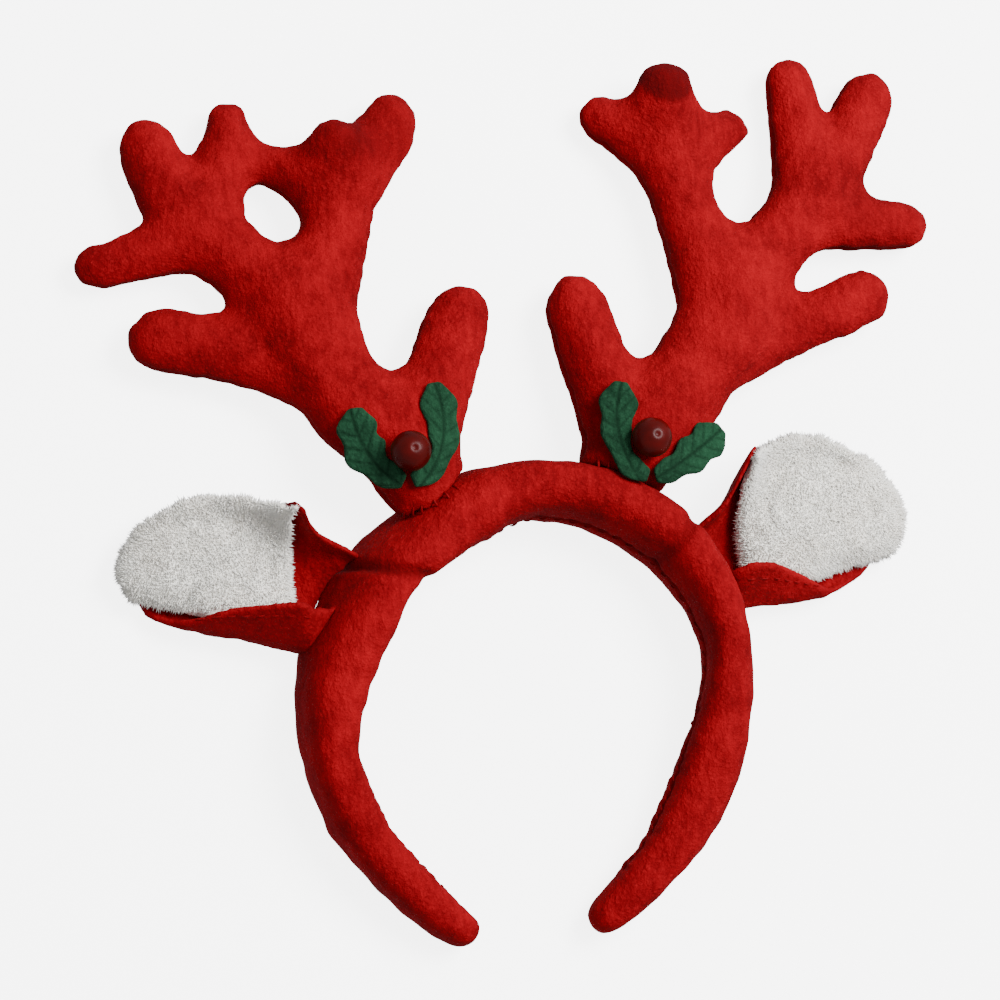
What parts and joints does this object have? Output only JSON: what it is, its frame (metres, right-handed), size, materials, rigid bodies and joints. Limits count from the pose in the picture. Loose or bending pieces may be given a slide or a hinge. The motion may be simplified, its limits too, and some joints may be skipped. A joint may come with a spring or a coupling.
{
  "type": "reindeer antler headband",
  "caption": "Padded felt hoop headband with branched stuffed antlers, scalloped holly leaves, glossy berries and cupped plush-lined ears.",
  "frame": {"origin": "the middle of the crown on the flat back edge of the hoop, on the surface it rests on", "axes": "+X to the wearer's left, +Y from the hoop towards the antler tips, +Z from the back of the headband to its front"},
  "size_m": [0.2817, 0.2836, 0.039],
  "materials": {
    "red_felt": "brushed felt",
    "green_felt": "felt",
    "berry_gloss": "dark red gloss",
    "white_plush": "short pile plush"
  },
  "bodies": {
    "root": {"headband": "red_felt", "antler_left": "red_felt", "antler_right": "red_felt", "ear_back_left": "red_felt", "ear_back_right": "red_felt", "holly_leaf_left_outer": "green_felt", "holly_leaf_left_inner": "green_felt", "holly_leaf_right_inner": "green_felt", "holly_leaf_right_outer": "green_felt", "berry_left": "berry_gloss", "berry_right": "berry_gloss", "ear_lining_left": "white_plush", "ear_lining_right": "white_plush"}
  },
  "joints": []
}
